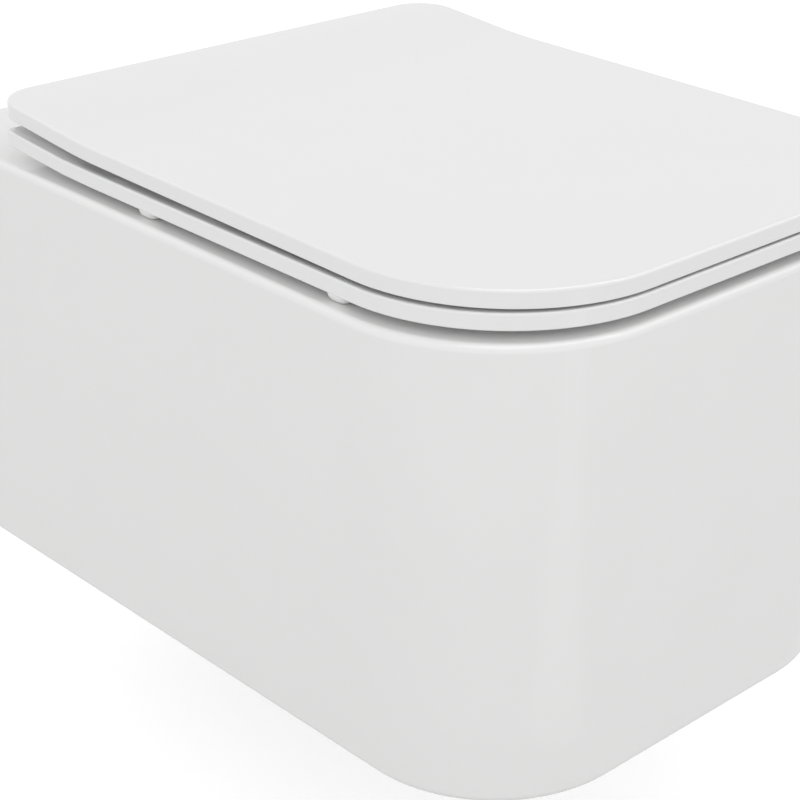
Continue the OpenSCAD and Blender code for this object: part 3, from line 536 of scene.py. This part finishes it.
def trap_shell():
    """Outside of the trap and of the spigot, whose end is slightly rounded."""
    rings = trap_rings(0, PASSAGE_R + WALL_T, SPIGOT_R, SPIGOT_END_Y - SPIGOT_EDGE_R)
    for a in QUARTER[1:]:
        back, less = SPIGOT_EDGE_R * (1 - math.sin(a)), SPIGOT_EDGE_R * (1 - math.cos(a))
        rings.append(trap_ring((SPIGOT_END_Y - back, OUTLET_Z), (0, -1), SPIGOT_R - less))
    return surface("trap_shell", rings, bisque)


def pan():
    """The pan: its outside less the hollow, with the bowl, trap, inlet and shelves added inside, and the
    waterway and all holes cut through."""
    body = pan_form("china_pan", 0, 0, 0.0, china)
    joined(body, pan_form("hollow", WALL_T, DECK_T, HOLLOW_END, bisque))
    inlet, half_w, half_h = (0, 0, INLET_Z), CHANNEL_W / 2, CHANNEL_H / 2
    shell_x = (-half_w - CHANNEL_T, half_w + CHANNEL_T)
    shell_z = (INLET_Z - half_h - CHANNEL_T, INLET_Z + half_h + CHANNEL_T)
    added = [bowl_shell(), trap_shell(), turned("inlet_boss", INLET_BOSS, "y", inlet, bisque),
             block("channel_shell", shell_x, CHANNEL_SHELL_Y, shell_z, CHANNEL_SHELL_R, bisque)]
    for side in SIDES:
        x = sorted(side * at for at in SHELF_X)
        added.append(block("shelf", x, SHELF_Y, SHELF_Z, SHELF_EDGE_R, bisque))
    for tool in added:
        joined(body, tool, "UNION")
    joined(body, waterway())
    joined(body, turned("inlet_bore", INLET_BORE, "y", inlet, bisque))
    joined(body, block("channel", (-half_w, half_w), CHANNEL_Y, (INLET_Z - half_h, INLET_Z + half_h),
                       CHANNEL_R, china, 3))
    for side in SIDES:
        joined(body, rod("seat_hole", SEAT_HOLE_R, "z", (side * HINGE_X, HINGE_HOLE_Y, SEAT_HOLE_Z),
                         SEAT_HOLE_L, china))
        start = side * SIDE_HOLE_X - SIDE_HOLE_L / 2
        joined(body, rod("side_hole", SIDE_HOLE_R, "x", (start, SCREW_Y, -RIM_H), SIDE_HOLE_L, china))
        start = cap_x() if side > 0 else -cap_x() - CAP_SEAT_L
        joined(body, rod("cap_seat", CAP_R + CAP_PLAY, "x", (start, SCREW_Y, -RIM_H), CAP_SEAT_L, china))
    return placed(body, "root", ["ceramic_pan"])


# Seat ring and lid

def knuckle(x, z_base, up):
    """A knuckle: a half circle round the hinge axis with two straight legs to z_base, drawn along x with a
    small round at both ends. up is 1 with the half circle on top, -1 with it below."""
    half = np.radians(np.linspace(0, 180, 33))
    ends = [(x[0] + along, less) for along, less in KNUCKLE_ROUND]
    ends += [(x[1] - along, less) for along, less in KNUCKLE_ROUND[::-1]]
    levels = []
    for at, less in ends:
        r = KNUCKLE_R - less
        y = np.concatenate([AXIS_Y + r * np.cos(half), [AXIS_Y - r, AXIS_Y + r]])
        z = np.concatenate([AXIS_Z + up * r * np.sin(half), [z_base, z_base]])
        levels.append(np.column_stack([np.full(len(y), at), y, z]))
    return surface("knuckle", levels, FINISHES["seat_plastic"])


def hinged(body, side, way, z_base):
    """Adds a knuckle beside a hinge housing and bores it for its damper or bush. way is -1 for the ring's
    knuckle, on the inner side of the housing, and 1 for the lid's, on the outer side."""
    near, far = HINGE_X + way * NEAR_X, HINGE_X + way * (NEAR_X + KNUCKLE_L)
    joined(body, knuckle(sorted((side * near, side * far)), z_base, -way), "UNION")
    bore = sorted((side * (HINGE_X + way * BORE_MOUTH), side * (far - way * KNUCKLE_END_T)))
    start, plastic = (bore[0], AXIS_Y, AXIS_Z), FINISHES["seat_plastic"]
    joined(body, rod("damper_bore", DAMPER_R, "x", start, bore[1] - bore[0], plastic))


def peg_hole(body, x, y, z):
    """Bores a piece of the seat for a buffer's peg, from z[0] to z[1]."""
    plastic = FINISHES["seat_plastic"]
    joined(body, rod("peg_hole", PEG_R + PEG_PLAY, "z", (x, y, z[0]), z[1] - z[0], plastic, 24))


def ring_level(share, less, more, z):
    """An outline of the ring: a share of the way from its outer edge, drawn in by less, to the edge of its
    opening, drawn out by more. A smooth step lifts it towards the hinges."""
    outer = outline(SEAT_W / 2 - less, SEAT_FRONT + less, RING_REAR - less,
                    SEAT_CORNER_R - less, RING_REAR_R - less)
    inner = outline(HOLE_W / 2 + more, HOLE_FRONT - more, HOLE_BACK + more,
                    HOLE_R_FRONT + more, HOLE_R_BACK + more)
    plan = outer * (1 - share) + inner * share
    return level(plan, z + RING_RISE * smooth((plan[:, 1] - RISE_START) / RISE_LENGTH))


def ring_fall(share):
    """How far the ring's top lies below its edge at a share of the way in: a smooth step beside the outer
    edge and a long one over the whole width."""
    return EDGE_FALL * smooth(share / EDGE_FALL_SHARE) + INNER_FALL * smooth(share)


def hinge_bar():
    """The bar between the two hinges that carries the ring's knuckles: a level slab whose rear edges are
    rounded."""
    edge = [(BAR_LOW_R * (1 - math.sin(a)), BAR_Z[0] + BAR_LOW_R * (1 - math.cos(a))) for a in QUARTER]
    edge += [(BAR_TOP_R * (1 - math.cos(a)), BAR_Z[1] - BAR_TOP_R * (1 - math.sin(a))) for a in QUARTER]
    levels = [level(outline(HINGE_X - NEAR_X, BAR_Y[0], BAR_Y[1] - less, BAR_FRONT_R, BAR_REAR_R), height)
              for less, height in edge]
    return surface("hinge_bar", levels, FINISHES["seat_plastic"])


def ring():
    """The seat ring: a band with rounded edges whose top falls a little towards the opening, notched for
    the hinge housings, with a knuckle on the inner side of each and seats for the feet in its underside."""
    low, top, inner_top, inner_low, fall = 1.0, 1.3, 4.0, 2.0, EDGE_FALL + INNER_FALL
    inwards, back = np.linspace(0, 1, 24)[1:-1] ** 1.5, (0.75, 0.5, 0.25)
    levels = [ring_level(0, low * (1 - math.sin(a)), 0, RING_Z0 + low * (1 - math.cos(a))) for a in QUARTER]
    levels += [ring_level(0, top * (1 - math.cos(a)), 0, RING_Z1 - top * (1 - math.sin(a))) for a in QUARTER]
    levels += [ring_level(share, top, inner_top, RING_Z1 - ring_fall(share)) for share in inwards]
    levels += [ring_level(1, 0, inner_top * (1 - math.sin(a)), RING_Z1 - fall - inner_top * (1 - math.cos(a)))
               for a in QUARTER]
    levels += [ring_level(1, 0, inner_low * (1 - math.cos(a)), RING_Z0 + inner_low * (1 - math.sin(a)))
               for a in QUARTER]
    levels += [ring_level(share, low, inner_low, RING_Z0) for share in back]
    plastic = FINISHES["seat_plastic"]
    body = surface("seat_ring_moulding", levels, plastic, wrapped=True)
    joined(body, hinge_bar(), "UNION")
    notch_w = HOUSING_W + 3 * KNUCKLE_GAP + KNUCKLE_L
    for side in SIDES:
        middle = side * (HINGE_X - NEAR_X + notch_w / 2)
        plan = outline(notch_w / 2, *NOTCH_Y, NOTCH_R, NOTCH_R, 6, 1) + (middle, 0)
        joined(body, surface("notch", [level(plan, z) for z in NOTCH_Z], plastic))
        hinged(body, side, -1, RING_KNUCKLE_Z)
        for y in FOOT_Y:
            peg_hole(body, side * FOOT_X, y, (FOOT_CUT_Z, FOOT_PEG_TOP + PEG_PLAY))
            half_w, half_l = FOOT_W + FOOT_PLAY, FOOT_L + FOOT_PLAY
            plan = outline(half_w, -half_l, half_l, FOOT_W, FOOT_W, 8, 2) + (side * FOOT_X, y)
            joined(body, surface("foot_seat", [level(plan, z) for z in (FOOT_CUT_Z, FOOT_Z[1])], plastic))
    return placed(body, "seat_ring", ["seat_ring"])


def lid_level(less, height):
    """An outline of the lid drawn in by less, at a height above the lid's underside."""
    plan = outline(SEAT_W / 2 - less, SEAT_FRONT + less, LID_REAR - less, max(SEAT_CORNER_R - less, 0.01),
                   max(LID_REAR_R - less, 0.01), 24, 30)
    return level(plan, lid_z(plan[:, 1]) + height)


def lid():
    """The lid: a slab of even thickness over its rising underside, with a small round along its lower edge
    and a larger one along its upper edge, and a knuckle on the outer side of each housing. Its wide faces
    are stepped inwards in narrow strips, so that they follow the rise."""
    low, top = 0.7, 2.0
    inward = np.concatenate([np.arange(4, 112, 4.0), np.linspace(118, SEAT_W / 2 - 0.05, 7)])
    levels = [lid_level(less, 0) for less in inward[::-1]]
    levels += [lid_level(low * (1 - math.sin(a)), low * (1 - math.cos(a))) for a in QUARTER]
    levels += [lid_level(top * (1 - math.cos(a)), LID_T - top * (1 - math.sin(a))) for a in QUARTER]
    levels += [lid_level(less, LID_T) for less in inward]
    body = surface("lid_moulding", levels, FINISHES["seat_plastic"])
    for side in SIDES:
        hinged(body, side, 1, LID_KNUCKLE_Z)
        peg_hole(body, side * PAD_X, PAD_Y, PAD_HOLE_Z)
    return placed(body, "lid", ["lid"])


# Buffers, caps and small parts

def foot(name, x, y, half_w, half_l, z, peg_top, dome):
    """A buffer: a round peg, a flat top, a short straight side and a domed underside, whose outlines shrink
    by one less the cosine while they sink by the sine. z is its lower and its upper height."""
    tip, pole = 0.5, 0.4

    def plan(w, l, grow=0.0):
        """The outline of a half width and a half length, drawn out by grow."""
        return outline(w + grow, -l - grow, l + grow, min(w, l) + grow, min(w, l) + grow, 8, 2) + (x, y)

    levels = [level(plan(PEG_R, PEG_R, -tip), peg_top), level(plan(PEG_R, PEG_R), peg_top - tip),
              level(plan(PEG_R, PEG_R), z[1]), level(plan(half_w, half_l, -FOOT_EDGE), z[1]),
              level(plan(half_w, half_l), z[1] - FOOT_EDGE)]
    for a in QUARTER[:-1]:
        shrunk = plan(half_w, half_l, (pole - half_w) * (1 - math.cos(a)))
        levels.append(level(shrunk, z[0] + dome * (1 - math.sin(a))))
    levels.append(level(plan(half_w, half_l, pole - half_w), z[0]))
    return surface(name, levels, FINISHES["buffer_plastic"])


def buffers():
    """Four feet under the ring and two pads under the lid."""
    lid_low = float(lid_z(PAD_Y))
    pad_z = (RING_Z1 - ring_fall(PAD_ON_RING) + PAD_LOW_GAP, lid_low - PAD_TOP_GAP)
    for side, word in zip(SIDES, WORDS):
        for y, end in zip(FOOT_Y, ("rear", "front")):
            piece = foot(f"ring_foot_{end}_{word}", side * FOOT_X, y, FOOT_W, FOOT_L,
                         (FOOT_Z[0], FOOT_Z[1] - FOOT_PLAY), FOOT_PEG_TOP, FOOT_DOME)
            placed(piece, "seat_ring", [f"ring_buffer_{end}_{word}"])
        piece = foot(f"lid_pad_{word}", side * PAD_X, PAD_Y, PAD_R, PAD_R, pad_z, lid_low + PAD_PEG_L,
                     pad_z[1] - pad_z[0] - FOOT_EDGE)
        placed(piece, "lid", [f"lid_buffer_{word}"])


def caps():
    """Covers over the side screws: a disc with a rounded edge, whose crown falls with the square of the
    radius, and a snap ring behind it. Its profile holds a radius and a place along x."""
    edge_w, edge_z, edge_h, crown_h, bevel = 0.7, 2.2, 0.5, 0.3, 0.4
    snap_ring = [(6, 0), (6, -4.6), (6.4, -5), (7.6, -5), (7.95, -4.4), (7.6, -3.6), (7.6, 0)]
    rim = [(CAP_R - bevel, 0), (CAP_R, bevel)]
    rim += [(CAP_R - edge_w * (1 - math.cos(a)), edge_z + edge_h * math.sin(a)) for a in QUARTER]
    crown = [(r, CAP_T - crown_h * (r / (CAP_R - edge_w)) ** 2) for r in np.linspace(CAP_R - 1, 0, 8)]
    profile = [(0, 0)] + snap_ring + rim + crown
    for side, word in zip(SIDES, WORDS):
        points = [(r, side * along) for r, along in profile]
        at = (side * cap_x(), SCREW_Y, -RIM_H)
        piece = turned(f"screw_cover_{word}", points, "x", at, FINISHES["cap_plastic"])
        placed(piece, "root", [f"cover_cap_{word}"])


def inlet_lip_seal():
    """The rubber seal round the flush pipe: a slightly tapered sleeve with sealing ribs on both sides of its
    wall, each a wave of one less the cosine."""
    outer_r, taper, outer_ribs, outer_rib_h = 27.45, 0.28, 7, 0.5
    inner_r, inner_ribs, inner_rib_h = 22.5, 4, 0.9
    start, length = -2, 35
    steps = np.linspace(0, 1, 121)
    outside = outer_r - taper * steps - outer_rib_h * (0.5 - 0.5 * np.cos(steps * 2 * np.pi * outer_ribs))
    inside = inner_r + inner_rib_h * (0.5 - 0.5 * np.cos(steps * 2 * np.pi * inner_ribs))
    along = start - length * steps
    profile = np.concatenate([np.column_stack([outside, along]), np.column_stack([inside, along])[::-1]])
    radius, along = profile[:, :1], profile[:, 1:]
    angle = np.linspace(0, 2 * np.pi, 72, endpoint=False)
    rings = np.stack([radius * np.cos(angle), along + 0 * angle, radius * np.sin(angle) + INLET_Z], -1)
    piece = surface("inlet_lip_seal", rings, FINISHES["seal_rubber"], wrapped=True)
    placed(piece, "root", ["inlet_seal"])


def buttons():
    """Release buttons: a flange, a straight side, a rounded edge and a top dished by the square of the
    radius."""
    edge_r, dish_h, dish_r = 0.5, 0.7, 3.9
    low = SPRING_Z + SPRING_PRESSED + BUTTON_TRAVEL
    profile = [(0, low), (FLANGE_R, low), (FLANGE_R, low + FLANGE_T), (BUTTON_R, low + FLANGE_T)]
    profile += [(BUTTON_R - edge_r * (1 - math.cos(a)), BUTTON_TOP - edge_r * (1 - math.sin(a)))
                for a in QUARTER]
    profile += [(r, BUTTON_TOP - dish_h * (1 - (r / dish_r) ** 2)) for r in np.linspace(dish_r, 0, 8)]
    for side, word in zip(SIDES, WORDS):
        at = (side * HINGE_X, HINGE_HOLE_Y, 0)
        piece = turned(f"button_{word}", profile, "z", at, FINISHES["button_plastic"])
        placed(piece, f"release_button_{word}", [f"release_button_{word}"])


def softened(node, width):
    """A hard CAD piece with its edges broken: a merged copy of its faces with a bevel so many millimetres
    wide."""
    original = frame["nodes"][node]
    piece = bpy.data.objects.new(node + "_finished", original.data.copy())
    bpy.context.scene.collection.objects.link(piece)
    work = bmesh.new()
    work.from_mesh(piece.data)
    bmesh.ops.remove_doubles(work, verts=work.verts, dist=TOGETHER)
    bmesh.ops.dissolve_limit(work, angle_limit=math.radians(1), verts=work.verts, edges=work.edges)
    bmesh.ops.recalc_face_normals(work, faces=work.faces)
    work.to_mesh(piece.data)
    work.free()
    piece.data.materials.clear()
    piece.data.materials.append(FINISHES[slots[node]])
    edge = piece.modifiers.new("edges", "BEVEL")
    edge.width, edge.segments = width / 1000, 2
    edge.limit_method, edge.angle_limit = "ANGLE", math.radians(35)
    body = next(name for name, nodes in frame["record"]["behaviour"]["bodies"].items() if node in nodes)
    return placed(piece, body, [node], crease=50)


# How many millimetres wide the broken edges of the hard pieces are
EDGES = {"hinge_housing": 0.7, "wall_bracket": 1.2, "bracket_washer": 0.3, "bracket_nut": 0.5,
         "mounting_plate": 0.4, "plate_gasket": 0.15, "side_screw": 0.3}
DIVERTER_EDGE = 0.8

pan()
ring()
lid()
buffers()
caps()
inlet_lip_seal()
buttons()
softened("flush_diverter", DIVERTER_EDGE)
for stem, width in EDGES.items():
    for word in WORDS:
        softened(f"{stem}_{word}", width)
for name, node in frame["nodes"].items():
    node.data.materials.clear()
    node.data.materials.append(FINISHES[slots[name]])


# Floor, light and camera, in metres

FLOOR_Z, FLOOR_HALF = -0.32, 6.0
FLOOR_TONE = 0.60               # how much light the floor gives back
FLOOR_LIFT = 0.58               # what makes it up to white where the camera looks at it
FLOOR_SHEEN = 0.41              # the same, for what a reflection shows of it
HORIZON, ZENITH = 1.28, 0.76    # how bright the studio is low down and overhead
STRIP_AT = (-0.10, -1.09)       # x and y of the bright strip on the floor
LENS, SENSOR_W = 87.707, 36.0   # millimetres
CLIP = (0.05, 60)
EYE = (-0.74067, -1.07164, 0.45179)
EYE_RIGHT = (0.74406, -0.66811, 0.0)
EYE_UP = (0.28848, 0.32127, 0.90198)
EYE_BACK = (-0.60262, -0.67112, 0.43178)


def looked_at(finish):
    """Two numbers, 1 or 0: whether the camera looks at a thing, and whether a reflection or glass does."""
    path = finish.node("ShaderNodeLightPath")
    glossy, through = Value(finish, path.outputs["Is Glossy Ray"]), path.outputs["Is Transmission Ray"]
    return Value(finish, path.outputs["Is Camera Ray"]), glossy.math("MAXIMUM", glossy, through)


def floor_finish():
    """Plain pale floor: what falls on it comes back at its tone, and looked at directly it is made up to
    white, so that only the object's shadow shows on it."""
    f = Finish("floor_plain")
    matt = f.node("ShaderNodeBsdfDiffuse", values={"Color": (FLOOR_TONE, FLOOR_TONE, FLOOR_TONE, 1)})
    camera_sees, mirrored = looked_at(f)
    strength = camera_sees * FLOOR_LIFT + mirrored * FLOOR_SHEEN
    lift = f.node("ShaderNodeEmission", values={"Color": (1, 1, 1, 1), "Strength": strength})
    both = f.node("ShaderNodeAddShader", values={0: matt.outputs[0], 1: lift.outputs[0]})
    return f.output(both.outputs[0])


def studio():
    """White all round where it is looked at. As a light, its brightness goes evenly from low down to overhead
    with the height of the direction."""
    world = bpy.data.worlds.new("studio")
    bpy.context.scene.world = world
    f = Finish("studio", world)
    way = f.node("ShaderNodeSeparateXYZ", values={0: f.node("ShaderNodeTexCoord").outputs["Generated"]})
    rise = Value(f, way.outputs["Z"])
    height = rise.math("MAXIMUM", rise, 0.0)
    light = height * (ZENITH - HORIZON) + HORIZON
    camera_sees, mirrored = looked_at(f)
    strength = light + (camera_sees + mirrored) * (1 - light)
    sky = f.node("ShaderNodeBackground", values={"Color": (1, 1, 1, 1), "Strength": strength})
    f.output(sky.outputs[0], "ShaderNodeOutputWorld")


def softbox(name, at, aim, size, brightness, mirrored=True):
    """A soft lamp that adds so many times white to what it covers, from its place, aimed at another, with a
    width and a height. The camera doesn't see it. A mirrored lamp shows in gloss alone, and any other lights
    only what is matt."""
    data = bpy.data.lights.new(name, "AREA")
    data.shape, data.size, data.size_y = "RECTANGLE", *size
    data.energy = brightness * math.pi * size[0] * size[1]
    lamp = bpy.data.objects.new(name, data)
    lamp.location = at
    lamp.rotation_euler = (Vector(aim) - Vector(at)).to_track_quat("-Z", "Y").to_euler()
    lamp.visible_camera = False
    lamp.visible_diffuse, lamp.visible_glossy = not mirrored, mirrored
    bpy.context.scene.collection.objects.link(lamp)


def stage():
    """The floor, the studio round it and the lamps."""
    half = FLOOR_HALF
    corners = [(-half, -half, FLOOR_Z), (half, -half, FLOOR_Z), (half, half, FLOOR_Z), (-half, half, FLOOR_Z)]
    mesh = bpy.data.meshes.new("floor")
    mesh.from_pydata(corners, [], [(0, 1, 2, 3)])
    mesh.materials.append(floor_finish())
    floor = bpy.data.objects.new("floor", mesh)
    bpy.context.scene.collection.objects.link(floor)
    studio()
    softbox("fill", (-0.96, -1.32, 0.77), (0, -0.25, 0.08), (0.9, 0.9), 0.6, mirrored=False)
    softbox("window_right", (0.95, -1.25, 1.1), (0, -0.4, 0.05), (1.1, 0.9), 1.4)
    softbox("window_overhead", (0.0, -0.85, 1.5), (0, -0.4, 0.08), (1.7, 0.9), 2.1)
    softbox("window_rear", (-0.6, 0.9, 0.95), (-0.18, -0.25, 0.08), (0.7, 0.7), 0.55)
    softbox("strip_low", (*STRIP_AT, FLOOR_Z + 0.02), (*STRIP_AT, 1.0), (0.17, 0.86), 0.3)


def camera():
    """Set to the photograph's framing; right, up and backwards are the camera's own axes."""
    data = bpy.data.cameras.new("camera")
    data.sensor_width, data.lens = SENSOR_W, LENS
    data.clip_start, data.clip_end = CLIP
    eye = bpy.data.objects.new("camera", data)
    place = np.eye(4)
    place[:3, :3] = np.column_stack([EYE_RIGHT, EYE_UP, EYE_BACK])
    place[:3, 3] = EYE
    eye.matrix_world = Matrix(place.tolist())
    bpy.context.scene.collection.objects.link(eye)
    bpy.context.scene.camera = eye


stage()
camera()
bpy.context.scene.view_settings.view_transform = "Standard"
